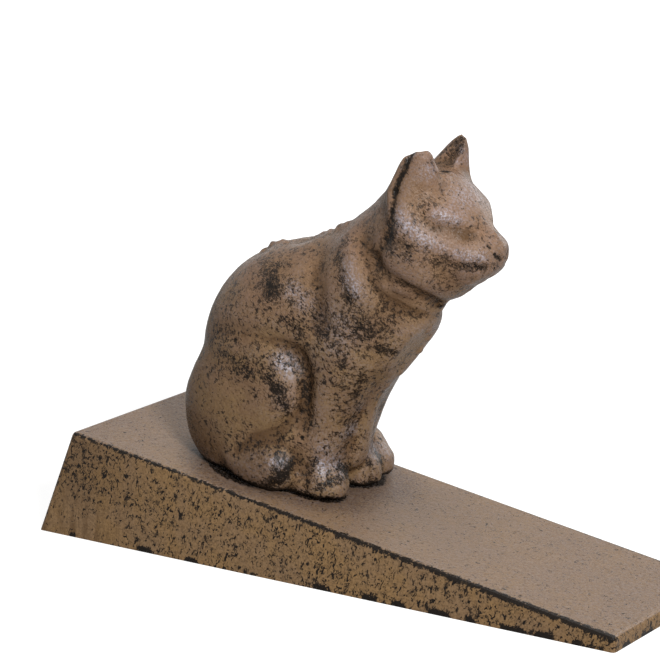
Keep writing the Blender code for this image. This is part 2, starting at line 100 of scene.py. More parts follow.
def white_world():
    """White where it is seen or mirrored, and a weak warm fill for the light that it gives."""
    world = bpy.data.worlds.new("white_sweep")
    world.use_nodes = True
    tree = world.node_tree
    tree.nodes.clear()
    path = add_node(tree, "ShaderNodeLightPath")
    seen = path.outputs["Is Camera Ray"]
    for ray in ("Is Glossy Ray", "Is Transmission Ray"):
        seen = add_node(tree, "ShaderNodeMath", {0: seen, 1: path.outputs[ray]}, operation="MAXIMUM")
        seen = seen.outputs[0]
    fill = add_node(tree, "ShaderNodeBackground", {"Color": (1.0, 0.95, 0.9, 1), "Strength": 0.09})
    white = add_node(tree, "ShaderNodeBackground", {"Color": (1, 1, 1, 1), "Strength": 1.0})
    mix = add_node(tree, "ShaderNodeMixShader", {0: seen, 1: fill.outputs[0], 2: white.outputs[0]})
    add_node(tree, "ShaderNodeOutputWorld", {"Surface": mix.outputs[0]})
    bpy.context.scene.world = world


def studio_floor():
    """A matt floor. For the camera it glows, less near the object than farther out, so the shadow stays."""
    bm = bmesh.new()
    bmesh.ops.create_grid(bm, x_segments=1, y_segments=1, size=3)
    mesh = bpy.data.meshes.new("studio_floor")
    bm.to_mesh(mesh)
    bm.free()
    floor = bpy.data.objects.new("studio_floor", mesh)
    bpy.context.scene.collection.objects.link(floor)
    material = bpy.data.materials.new("white_sweep")
    material.use_nodes = True
    tree = material.node_tree
    tree.nodes.clear()
    path = add_node(tree, "ShaderNodeLightPath")
    matt = add_node(tree, "ShaderNodeBsdfDiffuse", {"Color": (0.5, 0.5, 0.5, 1)})
    place = add_node(tree, "ShaderNodeTexCoord").outputs["Object"]
    away = add_node(tree, "ShaderNodeVectorMath", {0: place}, operation="LENGTH").outputs["Value"]
    glow_near, glow_far = 0.66, 1.0
    lift = add_node(tree, "ShaderNodeMapRange", {
        "Value": away, "From Min": 100 * MM, "From Max": 450 * MM, "To Min": glow_near, "To Max": glow_far,
    }, interpolation_type="SMOOTHSTEP").outputs[0]
    glow = add_node(tree, "ShaderNodeEmission", {"Color": (1, 1, 1, 1), "Strength": lift})
    lifted = add_node(tree, "ShaderNodeAddShader", {0: matt.outputs[0], 1: glow.outputs[0]})
    mix = add_node(tree, "ShaderNodeMixShader",
                   {0: path.outputs["Is Camera Ray"], 1: matt.outputs[0], 2: lifted.outputs[0]})
    add_node(tree, "ShaderNodeOutputMaterial", {"Surface": mix.outputs[0]})
    mesh.materials.append(material)


bpy.context.scene.view_settings.view_transform = "Standard"
white_world()
studio_floor()
lamp("camera_side_box", place=(0.58, -0.48, 0.43), size=0.16, power=8.0, colour=(1, 1, 1))
lamp("overhead_box", place=(0.1, 0.0, 0.85), size=0.5, power=4.2, colour=(1, 1, 1))
lamp("far_side_box", place=(0.15, 0.9, 0.35), size=0.5, power=1.8, colour=(0.98, 0.99, 1))


# Ramp
# A wedge cast in one piece, open underneath. It is painted tan over black enamel, and the tan is worn off the
# edges and skips the low spots of the casting, which leaves short black flecks.
slope = math.atan2(21.6, 139.8)  # it falls 21.6 mm over 139.8 mm
top_back_x = -64.8 * MM
top_height = 25 * MM
ramp_half_width = 22.5 * MM
bottom_back_x = -75 * MM
seat_along = 42  # millimetres down the slope, from its top edge to the middle of the cat's foot
# The cat's foot as ovals on the slope, in millimetres: along, across, half length and half width
foot_ovals = ((-0.3, 0, 15.8, 17), (13.7, -6.5, 7.9, 5.9), (0.8, 8.2, 21.4, 11.5))
tan_paint = (0.235, 0.148, 0.079)
ochre_paint = (0.255, 0.154, 0.068)
umber_paint = (0.082, 0.043, 0.018)
# A whitish, bluish paint, for rubbed places and for painted highlights and sheen
rubbed_and_highlight_paint = (0.42, 0.43, 0.51)
mauve_paint = (0.205, 0.117, 0.078)
black_enamel = (0.009, 0.006, 0.004)


def maths(tree, operation, a, b=0.0, clamp=False):
    return add_node(tree, "ShaderNodeMath", {0: a, 1: b}, operation=operation, use_clamp=clamp).outputs[0]


def rise(tree, value, low, high):
    """0 below low and 1 above high, with a soft step between."""
    return add_node(tree, "ShaderNodeMapRange", {"Value": value, "From Min": low, "From Max": high},
                    interpolation_type="SMOOTHSTEP").outputs[0]


def fall(tree, value, low, high):
    """1 below low and 0 above high, with a soft step between."""
    return maths(tree, "SUBTRACT", 1.0, rise(tree, value, low, high))


def grain(tree, place, size, detail=2.0, roughness=0.5, distortion=0.0):
    """Noise from 0 to 1, mostly near 0.5, whose lumps are this far apart."""
    return add_node(tree, "ShaderNodeTexNoise", {
        "Vector": place, "Scale": 1 / size, "Detail": detail, "Roughness": roughness,
        "Distortion": distortion,
    }).outputs["Fac"]


def blend(tree, share, first, second):
    """The first colour, turning to the second as share goes from 0 to 1."""
    return add_node(tree, "ShaderNodeMix", {0: share, 6: first, 7: second}, data_type="RGBA").outputs[2]


def squeezed(tree, place, lean, stretch):
    """Places for marks this many times as long as they are wide, which lean from upright about the Y axis."""
    turned = add_node(tree, "ShaderNodeMapping", {"Vector": place, "Rotation": (0, -lean, 0)}).outputs[0]
    return add_node(tree, "ShaderNodeMapping", {"Vector": turned, "Scale": (1, 1, 1 / stretch)}).outputs[0]


def flecked_paint(tree, place, marks, size, tans, cover, dirt_and_shade, pale_and_highlight, greyed=0.0, dabs=0.0, torn=0.64,
                  ink=0.94, satin=0.29, shine=0.12):
    """Tan paint over black enamel, in two tans that cloud into each other. The marks are about this size.

    cover: how much black shows, from hardly any at -0.2 to nearly all at 0.1
    dirt, pale, greyed: how far the tan turns to brown, for grime and painted shade, to whitish paint, for
    rubbing and painted highlights, and to mauve
    dabs, torn: more black in blots, and how ragged these are
    ink: how black the threads between the blots are
    satin, shine: the roughness of the tan, and its specular level
    """
    # Blots, and between them curled threads that fade in and out
    crinkle = maths(tree, "SUBTRACT", grain(tree, marks, size, 3, torn, 1.3), 0.5)
    crinkle = maths(tree, "ADD", crinkle, cover)
    blots = rise(tree, maths(tree, "ADD", crinkle, dabs), 0.01, 0.04)
    curl = maths(tree, "SUBTRACT", grain(tree, marks, size * 0.9, 2, 0.55, 2.0), 0.5)
    curl = maths(tree, "ABSOLUTE", curl)
    fade = maths(tree, "SUBTRACT", grain(tree, place, size * 1.6, 2, 0.6), 0.5)
    fade = maths(tree, "MULTIPLY", fade, 0.7)
    width = maths(tree, "ADD", maths(tree, "MULTIPLY", cover, 1.2), maths(tree, "ADD", fade, 0.115))
    width = maths(tree, "MINIMUM", width, 0.12)
    threads = rise(tree, maths(tree, "SUBTRACT", width, curl), -0.01, 0.025)
    black = maths(tree, "MAXIMUM", blots, maths(tree, "MULTIPLY", threads, ink))
    stain = rise(tree, crinkle, -0.09, 0.01)

    # The tan, with brown in its pores and round the marks, brown grime and painted shade, and whitish glints
    # of rubbed paint and painted highlights
    cloud = rise(tree, grain(tree, place, 9 * MM, 4, 0.6), 0.36, 0.64)
    tan = blend(tree, cloud, (*tans[0], 1), (*tans[1], 1))
    tan = blend(tree, greyed, tan, (*mauve_paint, 1))
    fine = rise(tree, grain(tree, place, 0.42 * MM, 3, 0.7), 0.34, 0.6)
    pores = maths(tree, "MULTIPLY", maths(tree, "SUBTRACT", 1.0, fine), 0.55)
    tan = blend(tree, pores, tan, (*umber_paint, 1))
    brown = maths(tree, "ADD", maths(tree, "MULTIPLY", stain, 0.5), dirt_and_shade, clamp=True)
    tan = blend(tree, brown, tan, (*umber_paint, 1))
    glints = rise(tree, grain(tree, place, 0.5 * MM, 3, 0.7), 0.42, 0.64)
    glints = maths(tree, "ADD", maths(tree, "MULTIPLY", glints, 0.75), 0.15)
    tan = blend(tree, maths(tree, "MULTIPLY", pale_and_highlight, glints), tan, (*rubbed_and_highlight_paint, 1))
    colour = blend(tree, black, tan, (*black_enamel, 1))

    shader = tree.nodes["Principled BSDF"]
    tree.links.new(colour, shader.inputs["Base Color"])
    gloss = maths(tree, "SUBTRACT", satin, maths(tree, "MULTIPLY", fine, 0.06))
    gloss = maths(tree, "SUBTRACT", gloss, maths(tree, "MULTIPLY", black, 0.08))
    tree.links.new(gloss, shader.inputs["Roughness"])
    shader.inputs["Specular IOR Level"].default_value = shine

    # The roughness of a sand casting, in millimetres, with the film of tan missing where it is black
    skin = maths(tree, "MULTIPLY", grain(tree, place, 0.45 * MM, 3, 0.6), 0.16)
    sand = maths(tree, "MULTIPLY", grain(tree, place, 1.3 * MM, 2), 0.18)
    film = maths(tree, "MULTIPLY", black, -0.035)
    height = maths(tree, "ADD", maths(tree, "ADD", skin, sand), film)
    bump = add_node(tree, "ShaderNodeBump", {"Height": height, "Distance": 1 * MM, "Strength": 0.9})
    tree.links.new(bump.outputs["Normal"], shader.inputs["Normal"])


def from_cat(tree, place):
    """How far a point of the slope is out from the cat's foot, taken as three ovals."""
    nearest = 1.0
    for along, across, half_length, half_width in foot_ovals:
        middle = top_back_x + (seat_along + along) * MM * math.cos(slope)
        run = half_length * MM * math.cos(slope)
        oval = add_node(tree, "ShaderNodeMapping", {
            "Vector": place, "Location": (-middle / run, -across / half_width, 0),
            "Scale": (1 / run, 1 / (half_width * MM), 0),
        })
        radius = add_node(tree, "ShaderNodeVectorMath", {0: oval.outputs[0]}, operation="LENGTH")
        out = maths(tree, "SUBTRACT", radius.outputs["Value"], 1.0)
        out = maths(tree, "MULTIPLY", out, min(half_length, half_width) * MM)
        nearest = maths(tree, "MINIMUM", nearest, out)
    return nearest


def ramp_paint():
    """The paint, with black at the worn edges, round the cat and along the floor, painted shade round the cat
    and a painted sheen on the slope.
    """
    material = bpy.data.materials.new("ramp_paint")
    material.use_nodes = True
    tree = material.node_tree
    place = add_node(tree, "ShaderNodeTexCoord").outputs["Object"]
    axes = add_node(tree, "ShaderNodeSeparateXYZ", {0: place}).outputs

    # How far a point is down the ramp, under the slope, in from a long side and in from the leaning back
    along = maths(tree, "SUBTRACT", axes["X"], top_back_x)
    roof = maths(tree, "SUBTRACT", top_height, maths(tree, "MULTIPLY", along, math.tan(slope)))
    under = maths(tree, "SUBTRACT", roof, axes["Z"])
    inward = maths(tree, "SUBTRACT", ramp_half_width, maths(tree, "ABSOLUTE", axes["Y"]))
    back = maths(tree, "MULTIPLY", axes["Z"], (top_back_x - bottom_back_x) / top_height)
    from_back = maths(tree, "SUBTRACT", axes["X"], maths(tree, "ADD", bottom_back_x, back))
    on_top = fall(tree, under, 0.1 * MM, 0.5 * MM)

    # The edge between the slope and a long side is worn black, in a ragged line that widens towards the toe
    from_edge = maths(tree, "MAXIMUM", under, inward)
    from_corner = maths(tree, "ADD", maths(tree, "MAXIMUM", from_back, inward), 0.35 * MM)
    from_edge = maths(tree, "MINIMUM", from_edge, from_corner)
    ragged = maths(tree, "SUBTRACT", grain(tree, place, 1.2 * MM, 4, 0.75), 0.5)
    ragged = maths(tree, "MULTIPLY", ragged, 2.6 * MM)
    reach = maths(tree, "ADD", 0.3 * MM, maths(tree, "MULTIPLY", along, 0.004))
    worn = maths(tree, "SUBTRACT", reach, maths(tree, "ADD", from_edge, ragged))
    worn = rise(tree, worn, -0.6 * MM, 0.5 * MM)

    # Black round the cat's foot, partly paint the brush didn't reach and partly painted contact shadow, a
    # painted shade on the slope round it, and black here and there along the floor
    beside_cat = from_cat(tree, place)
    ringed = maths(tree, "ADD", beside_cat, maths(tree, "MULTIPLY", ragged, 0.6))
    ringed = fall(tree, ringed, -0.4 * MM, 0.4 * MM)
    ringed = maths(tree, "MULTIPLY", ringed, maths(tree, "MULTIPLY", on_top, 0.75))
    shaded = maths(tree, "MULTIPLY", fall(tree, beside_cat, 0.5 * MM, 8 * MM), on_top)
    chipped = rise(tree, grain(tree, place, 6 * MM, 2), 0.5, 0.62)
    chipped = maths(tree, "MULTIPLY", fall(tree, axes["Z"], 0.4 * MM, 1.8 * MM), chipped)

    # Short leaning dabs on the sides, closer under the back's top, and wiped thin by the brush at its foot
    patchy = maths(tree, "MULTIPLY", maths(tree, "SUBTRACT", grain(tree, place, 8 * MM, 3), 0.5), 0.08)
    at_back = fall(tree, along, 2 * MM, 26 * MM)
    low = fall(tree, axes["Z"], 3 * MM, 15 * MM)
    browned = maths(tree, "MULTIPLY", at_back, maths(tree, "SUBTRACT", 1.0, low))
    wiped = maths(tree, "MULTIPLY", at_back, low)
    side_cover = maths(tree, "ADD", patchy, -0.12)
    side_cover = maths(tree, "ADD", side_cover, maths(tree, "MULTIPLY", browned, 0.03))
    side_cover = maths(tree, "SUBTRACT", side_cover, maths(tree, "MULTIPLY", wiped, 0.05))
    top_cover = maths(tree, "ADD", patchy, -0.18)
    cover = add_node(tree, "ShaderNodeMix", {0: on_top, 2: side_cover, 3: top_cover}).outputs[0]
    black_here = maths(tree, "MAXIMUM", worn, maths(tree, "MAXIMUM", ringed, chipped))
    cover = maths(tree, "ADD", cover, maths(tree, "MULTIPLY", black_here, 0.3))

    # Brown: a fine pepper on the slope, denser near the cat, painted shade round the cat, browner towards the
    # toe, and streaks at the back's foot
    pepper = grain(tree, place, 0.42 * MM, 2.5, 0.6)
    pepper = maths(tree, "ADD", pepper, maths(tree, "MULTIPLY", shaded, 0.06))
    pepper = maths(tree, "MULTIPLY", rise(tree, pepper, 0.49, 0.62), on_top)
    streaks = grain(tree, squeezed(tree, place, math.radians(4), 9), 1.2 * MM, 3, 0.6)
    streaks = maths(tree, "MULTIPLY", wiped, rise(tree, streaks, 0.42, 0.68))
    dirt_and_shade = maths(tree, "MULTIPLY", pepper, maths(tree, "ADD", shaded, 0.65))
    for share, amount in (
        (shaded, 0.15), (browned, 0.3), (rise(tree, along, 70 * MM, 140 * MM), 0.22), (streaks, 0.6),
    ):
        dirt_and_shade = maths(tree, "ADD", dirt_and_shade, maths(tree, "MULTIPLY", share, amount))

    # The slope gets whitish paint with glints, which is a painted sheen
    flecked_paint(
        tree, place, marks=squeezed(tree, place, math.radians(20), 1.7), size=0.8 * MM,
        tans=(tan_paint, ochre_paint), cover=cover, dirt_and_shade=dirt_and_shade, pale_and_highlight=maths(tree, "MULTIPLY", on_top, 0.17),
        dabs=0.05, torn=0.5, satin=0.38, shine=0.15,
    )
    return material


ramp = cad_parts["ramp"]
ramp.data.materials.clear()
ramp.data.materials.append(ramp_paint())


# Cat
# A solid iron casting, held on the slope by a peg and a screw, and painted as the ramp is, with more black
# left in its hollows. The two halves of the mould meet along its middle, where a little flash is left.
seat = Matrix.Translation((
    top_back_x + seat_along * MM * math.cos(slope), 0, top_height - seat_along * MM * math.sin(slope),
)) @ Matrix.Rotation(slope, 4, "Y")
warm_tan = (0.190, 0.114, 0.065)
golden_tan = (0.198, 0.122, 0.058)
skin_voxel = 0.42 * MM
skin_smoothing = 14
seat_gap = 0.3 * MM
peg_radius = 2.5 * MM
peg_length = 4 * MM
peg_along = 12 * MM
peg_middle = -0.7 * MM

# Lines worked into both sides: width, depth (raised if negative), the black left in them, and their points.
# All places on the cat are in millimetres from its seat's middle: along the slope, across it and up from it
cat_lines = (
    # Ears
    (0.65, 0.45, 0.3, ((28.2, 9.5, 82.0), (28.1, 10.2, 80.8), (27.9, 10.8, 78.4), (27.1, 11.4, 75.9),
                       (27.0, 11.8, 73.7))),
    (0.6, 0.25, 0.2, ((27.0, 11.8, 73.7), (27.3, 12.2, 71.9), (27.4, 12.6, 69.6))),
    (0.5, 0.1, 0.12, ((27.4, 12.6, 69.6), (27.5, 12.7, 67.6))),
    (0.6, -0.55, -0.03, ((30.7, 7.9, 83.2), (31.2, 7.0, 82.2), (31.3, 6.0, 80.6), (31.2, 5.1, 78.7),
                         (31.3, 4.3, 77.7))),
    (0.4, 0.2, 0.12, ((32.2, 7.9, 81.9), (32.7, 7.5, 80.3), (33.1, 7.0, 79.0), (33.5, 6.1, 78.0))),
    (0.35, 0.0, 0.10, ((29.6, 7.2, 83.1), (28.7, 6.9, 82.2), (27.8, 6.5, 81.1), (26.8, 6.0, 79.8),
                       (25.8, 5.6, 78.5))),
    # Behind the cheek
    (1.0, 0.15, 0.03, ((27.6, 12.7, 67.4), (28.2, 13.4, 65.0), (26.6, 12.8, 62.0), (24.6, 11.6, 59.0))),
    # Brow, eye and cheekbone
    (1.5, -0.2, -0.02, ((36.0, 10.0, 71.3), (38.5, 8.4, 71.2), (40.7, 6.1, 70.3), (42.3, 4.3, 69.1))),
    (0.8, 0.08, 0.02, ((36.6, 10.1, 68.1), (38.0, 9.0, 68.8), (39.9, 7.2, 68.9), (41.6, 5.4, 68.4),
                       (42.5, 4.2, 67.6))),
    (1.5, -0.1, -0.04, ((39.1, 8.8, 67.2), (40.4, 7.5, 66.9), (41.5, 6.1, 66.8))),
    (1.5, -0.15, -0.02, ((29.6, 13.2, 69.2), (34.1, 12.6, 66.6), (37.9, 10.6, 64.8), (41.5, 8.5, 64.1),
                         (45.1, 6.4, 64.5), (47.3, 3.3, 65.0))),
    # Mouth and nostril
    (0.6, 0.2, 0.05, ((41.4, 8.6, 61.4), (43.4, 7.6, 61.0), (45.6, 6.0, 61.0), (47.1, 4.2, 60.9),
                      (48.2, 1.6, 61.2))),
    (0.4, 0.3, 0.24, ((47.8, 2.8, 64.0), (48.1, 1.8, 63.3), (48.4, 1.2, 62.8))),
    # Folds of the neck
    (0.9, 0.15, 0.05, ((23.0, 11.2, 59.6), (24.9, 11.3, 57.5), (28.1, 12.5, 56.4), (32.4, 11.6, 54.8),
                       (34.6, 9.9, 53.7), (36.1, 5.9, 51.7), (36.1, 1.7, 49.5))),
    (1.5, 0.65, 0.0, ((28.6, 12.3, 54.1), (31.0, 12.1, 53.8), (32.4, 11.2, 53.1), (33.7, 9.6, 52.3),
                      (34.5, 7.4, 51.2), (35.4, 4.8, 50.0), (35.4, 1.8, 48.8))),
    (1.2, -0.12, -0.02, ((27.2, 11.6, 53.4), (29.7, 11.3, 52.6), (31.0, 10.8, 52.2), (31.9, 9.6, 51.5),
                         (34.0, 7.0, 50.5), (34.8, 4.7, 49.3))),
    (1.2, -0.45, -0.06, ((27.2, 11.2, 52.5), (28.1, 10.4, 51.5), (29.1, 9.4, 50.7), (30.4, 8.4, 50.1),
                         (31.7, 7.2, 49.5), (33.0, 5.9, 48.8), (34.0, 4.0, 48.0), (34.6, 1.8, 47.3))),
    # Shoulder
    (1.8, 0.1, 0.04, ((14.8, 9.2, 60.1), (15.1, 10.8, 58.2), (15.2, 11.8, 55.7), (16.2, 12.8, 53.5),
                      (18.1, 13.5, 51.0), (20.1, 13.7, 48.9))),
    (2.0, -0.15, -0.02, ((17.9, 11.8, 57.8), (20.8, 13.4, 53.1), (25.0, 12.6, 49.2))),
    # Front of the haunch, and the foot under it
    (1.6, -0.1, 0.05, ((11.9, 13.6, 34.1), (11.9, 11.5, 28.8), (12.7, 11.5, 24.5), (13.0, 11.3, 19.9),
                       (14.5, 12.0, 17.0))),
    (0.9, 0.1, 0.01, ((-1.1, 16.6, 6.8), (1.0, 16.4, 8.8), (3.5, 15.6, 10.4), (6.4, 14.6, 11.3),
                      (9.7, 14.0, 11.3), (12.0, 13.1, 9.0), (12.6, 13.0, 5.0), (12.4, 13.6, 1.0))),
    # Foreleg and toes
    (0.8, 0.1, 0.04, ((22.2, 4.2, 30), (21.0, 5.0, 25), (20.6, 6.0, 19.4), (20.1, 6.0, 16.3),
                      (19.7, 5.6, 13.7))),
    (0.7, 0.2, 0.06, ((14.6, 12, 7), (15.4, 12.2, 1))),
    (0.6, 0.25, 0.04, ((19.0, 9.4, 7), (19.8, 9.6, 1))),
    (0.6, 0.25, 0.04, ((20.6, 5.0, 7), (21.4, 5.0, 1))),
)
crown_slot = (0.45, 1.0, 1.0, ((31.5, -0.1, 77.6), (31.9, 0.9, 77.4)))

# Flash along the mould's joint: how far it stands out, and its points
cat_flash = (
    # Back and nape
    (0.40, ((-19, 0, 36), (-15, 0, 44), (-12, 0, 47.8), (-6.8, 0, 50.9), (-2.4, 0, 52.4), (2.1, 0, 54.8),
            (7, 0, 59), (10.2, 0, 61), (16, 0, 64.5), (20, 0, 68))),
    # Forehead and nose
    (0.22, ((36, 0, 77.6), (39.9, 0, 75.6), (43.4, 0, 70), (46.1, 0, 67.8), (48.6, 0, 65))),
    # Throat
    (0.25, ((47, 0, 58.6), (42, 0, 54.6), (37.5, 0, 50.2))),
    # Chest
    (0.40, ((36, 0, 48.5), (34.9, 0, 44.5), (33.5, 0, 42.2), (31.1, 0, 41), (29.4, 0, 38.7),
            (28.1, 0, 35.5), (27.6, 0, 30.5), (24.8, 0, 26.8), (22.7, 0, 23.1), (22.6, 0, 15.5),
            (22.2, 0, 9))),
)

# Lumps of iron that were left on, and dents if negative: place, reach and height
cat_lumps = (
    # Back
    (-10.5, -3.0, 48.6, 3.0, -0.8), (-1.5, -1.9, 53.4, 3.2, -0.7), (1.5, -1.8, 54.7, 2.2, -0.4),
    (9.2, -2.6, 59.1, 1.5, 0.9), (11.2, -3.2, 60.5, 1.3, 0.6),
    # Chest and throat
    (31.2, 4.0, 38.8, 1.0, 0.5), (29.4, 4.0, 35.5, 1.0, 0.6), (36.6, -0.9, 49.8, 1.1, 0.7),
    (35.0, 0.9, 47.4, 0.9, 0.3),
    # Spine
    (-7.6, -1.2, 50.7, 0.9, 0.5), (-5.0, -1.9, 52.0, 0.7, 0.35), (3.4, -0.8, 56.0, 0.8, 0.35),
    (6.4, -2.0, 57.6, 1.0, 0.3), (-9.5, 0.3, 49.5, 1.0, 0.7), (-6.4, -0.6, 50.9, 0.8, 0.5),
    (1.5, 0.0, 53.9, 0.9, 0.6), (2.6, -0.8, 54.8, 0.7, 0.5), (5.0, 0.0, 57.0, 0.7, 0.4),
    (7.2, 0.2, 59.2, 0.6, 0.35), (9.4, -0.3, 60.6, 0.8, 0.4),
    # Crown and ears
    (33.4, -6.2, 78.7, 0.7, 0.3), (32.7, -2.7, 77.3, 0.6, 0.55), (33.5, -2.0, 77.1, 0.6, 0.6),
    (33.2, 0.1, 77.4, 0.6, 0.5), (34.4, -2.9, 76.6, 0.7, 0.35), (29.4, 5.4, 80.0, 2.0, -0.35),
    (29.2, 6.4, 81.6, 1.4, -0.2),
    # Throat, nose and chin
    (36.0, -0.4, 48.5, 0.8, 0.9), (46.1, 0.0, 67.9, 0.7, 0.3), (43.9, -4.4, 56.9, 1.0, 0.3),
    (45.6, -4.2, 58.2, 0.8, 0.25), (35.5, 0.0, 46.4, 0.6, 0.4), (33.6, 0.0, 42.2, 0.6, 0.35),
    (31.1, 0.0, 40.6, 0.6, 0.3),
    # Haunch and foot
    (-1.0, -16.3, 29.0, 1.2, 0.2), (14.2, -12.6, 8.4, 0.6, 0.2), (13.2, -13.2, 4.6, 0.8, 0.25),
)

# Where more of the black shows in the photograph, or less if negative: place, reach and how much
cat_patches = (
    # Back and flank
    (-5.8, -8.8, 48.2, 2.2, 0.06), (-2.4, -11.3, 47.4, 2.4, 0.089), (-0.1, -12.8, 46.0, 2.2, 0.118),
    (1.9, -13.7, 44.5, 2.0, 0.125), (0.7, -14.1, 43.3, 1.6, 0.074), (6.1, -14.1, 43.3, 1.8, 0.04),
    (9.7, -13.7, 41.8, 1.6, 0.035), (5.4, -14.7, 39.8, 1.6, 0.055), (7.1, -14.5, 38.4, 1.6, 0.06),
    (9.4, -14.1, 38.2, 1.6, 0.06), (11.7, -13.5, 38.6, 1.6, 0.045), (14.9, -14.0, 36.9, 1.8, 0.065),
    (19.1, -13.6, 38.5, 2.2, 0.03), (9.7, -13.9, 35.8, 1.4, 0.05), (13.6, -13.0, 34.6, 1.6, 0.045),
    # Shoulder
    (14.8, -10.2, 59.2, 1.8, 0.06), (15.2, -11.8, 56.0, 1.8, 0.067), (17.4, -13.2, 52.0, 1.8, 0.067),
    (20.6, -13.9, 48.6, 1.6, 0.074),
    # Wide thin fields, and cleaner places on the back
    (19.9, -13.3, 43.3, 6.0, 0.02), (17.6, -13.9, 38.0, 6.0, 0.02), (24.3, -11.8, 42.6, 5.0, 0.03),
    (27.5, -9.5, 43.0, 3.0, 0.03), (2.0, -14.3, 40.0, 6.0, 0.015), (18.0, -11.0, 28.0, 6.0, 0.03),
    (-8.0, -13.5, 33.0, 7.0, 0.015), (5.5, -11.0, 51.0, 4.0, -0.03), (12.2, -11.8, 49.6, 2.2, -0.06),
    (10.5, -13.7, 40.5, 2.2, -0.035),
    # Chest and foreleg
    (27.5, -9.4, 38.1, 1.4, 0.089), (29.4, -7.8, 37.8, 1.2, 0.103), (30.3, -6.4, 37.2, 1.2, 0.103),
    (24.3, -10.2, 32.0, 1.1, 0.074), (24.0, -9.3, 29.6, 1.2, 0.103), (23.0, -8.6, 26.4, 1.1, 0.074),
    # Haunch and knee
    (-13.4, -13.3, 28.2, 1.6, 0.067), (-9.9, -14.9, 27.6, 1.8, 0.074), (-7.1, -15.7, 26.9, 1.8, 0.074),
    (-3.9, -16.1, 26.1, 1.8, 0.067), (-1.0, -16.3, 25.6, 1.8, 0.089), (3.0, -16.1, 25.7, 1.7, 0.082),
    (5.3, -16.0, 25.2, 1.7, 0.103), (7.0, -15.8, 23.8, 1.8, 0.132), (8.5, -15.3, 21.6, 1.8, 0.118),
    (9.8, -14.0, 19.8, 1.6, 0.074), (12.0, -11.6, 24.0, 1.8, 0.06),
    # Feet
    (4.0, -16.0, 9.4, 1.8, 0.06), (6.6, -16.0, 9.0, 2.0, 0.08), (9.4, -15.2, 8.0, 1.4, 0.06),
    (1.0, -16.6, 8.4, 2.4, 0.04), (6.0, -17.2, 5.6, 2.4, 0.03), (11.8, -13.8, 7.6, 1.0, 0.14),
    (11.8, -14.8, 6.5, 1.1, 0.16), (11.3, -15.6, 5.1, 1.2, 0.18), (10.4, -16.1, 3.6, 1.2, 0.18),
    (8.8, -16.6, 2.5, 1.1, 0.14), (7.2, -17.0, 2.4, 1.0, 0.10), (9.2, -16.7, 5.0, 1.3, 0.08),
    (18.4, -11.6, 3.8, 1.1, 0.12), (19.7, -10.1, 4.4, 1.2, 0.14), (19.5, -7.0, 7.3, 1.1, 0.14),
    (19.9, -5.2, 6.8, 1.1, 0.16), (20.2, -3.4, 5.3, 1.1, 0.12), (15.8, -11.5, 8.4, 1.0, 0.074),
    (21.0, -7.8, 5.2, 1.2, 0.14), (18.8, 11.0, 5.8, 1.0, 0.118), (20.0, 10.6, 4.2, 1.0, 0.132),
    (20.3, 11.2, 2.2, 1.0, 0.089), (20.6, -6.8, 18.4, 1.0, 0.067),
    # Head and throat
    (28.6, -13.3, 66.0, 1.6, 0.103), (27.6, -12.7, 63.5, 1.9, 0.089), (29.6, -13.9, 61.5, 2.4, 0.05),
    (33.0, -13.3, 63.6, 1.8, 0.06), (33.0, -13.6, 60.4, 3.0, 0.03), (32.6, -11.8, 55.2, 1.6, 0.06),
    (38.4, -9.6, 61.6, 1.4, 0.06), (40.6, -9.0, 62.0, 1.0, 0.103), (43.4, -7.5, 61.3, 1.0, 0.096),
    (45.2, -6.6, 61.6, 1.0, 0.125), (46.6, -5.2, 61.6, 0.9, 0.125), (41.8, -7.6, 59.6, 1.6, 0.06),
    (42.3, -4.6, 69.2, 0.9, 0.089), (44.6, -4.4, 67.4, 0.7, 0.089), (46.3, -3.6, 65.6, 0.8, 0.089),
    (47.9, -3.1, 64.2, 0.5, 0.05), (48.9, -0.9, 63.4, 0.8, 0.06), (47.3, -0.9, 66.7, 0.5, 0.08),
    (40.5, -7.2, 67.6, 2.2, -0.06), (33.2, 8.2, 79.0, 2.2, -0.1), (33.8, -9.6, 73.0, 1.6, 0.05),
    (36.0, 0.0, 48.3, 0.9, 0.6), (39.0, -7.4, 72.6, 1.0, 0.04), (28.5, -13.4, 65.0, 2.0, 0.05),
    (29.0, -13.6, 61.5, 2.2, 0.04), (35.3, -12.8, 61.0, 2.4, 0.04), (30.6, 6.2, 81.0, 0.9, 0.06),
    (29.4, 6.6, 80.8, 2.4, 0.08), (30.2, 4.8, 78.2, 2.0, 0.08), (30.3, 7.6, 83.2, 0.8, 0.13),
    (30.6, 6.8, 81.9, 0.5, 0.13), (31.2, -9.4, 77.0, 4.0, -0.09), (38.6, -3.0, 74.4, 4.0, -0.06),
    (40.4, -7.5, 66.9, 1.8, -0.08), (31.3, -2.0, 40.0, 3.5, -0.08),
    # Cleaner places low down, on the haunch and in the far ear
    (-4.0, -16.0, 17.0, 6.0, -0.05), (-16.0, -10.0, 16.0, 8.0, -0.03), (4.0, -17.0, 15.0, 4.0, -0.04),
    (-3.0, -15.4, 34.6, 3.0, -0.05), (6.0, -14.0, 35.6, 2.2, -0.04), (32.8, 6.6, 76.0, 3.0, -0.08),
    (22.0, -7.0, 12.0, 2.5, -0.04),
)
